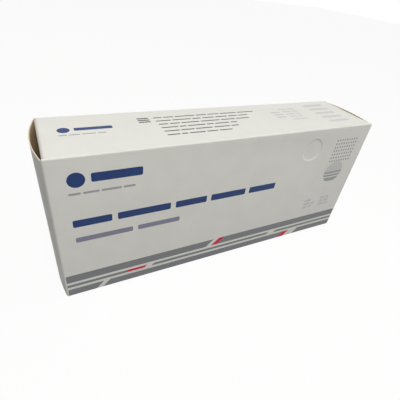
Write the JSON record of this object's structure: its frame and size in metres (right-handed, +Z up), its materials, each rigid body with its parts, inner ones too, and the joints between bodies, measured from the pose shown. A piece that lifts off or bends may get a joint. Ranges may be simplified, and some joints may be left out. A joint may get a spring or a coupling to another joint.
{
  "type": "tuck end folding carton",
  "caption": "Long narrow folding carton of white-lined board, lying on a long side, with a bowed tuck-in closure and dust flaps at each end and a glued seam.",
  "frame": {"origin": "under the middle of the bottom panel, on the surface that the carton stands on", "axes": "+X along the carton from the left closure to the right closure, -Y out of the large front panel, +Z up"},
  "size_m": [0.2372, 0.05, 0.1],
  "materials": {
    "board": "smooth white clay-coated outer face with light print, plain brown-grey inner face"
  },
  "bodies": {
    "sleeve": {"sleeve": "board"},
    "left_closure": {"left_closure": "board"},
    "right_closure": {"right_closure": "board"}
  },
  "joints": [
    {"name": "left_closure_fold", "type": "hinge", "parent": "sleeve", "child": "left_closure", "pos_m": [-0.11478, -0.0247, 0.05], "axis": [0, 0, 1], "range_deg": [0, 150]},
    {"name": "right_closure_fold", "type": "hinge", "parent": "sleeve", "child": "right_closure", "pos_m": [0.11478, 0.0247, 0.05], "axis": [0, 0, 1], "range_deg": [0, 150]}
  ]
}
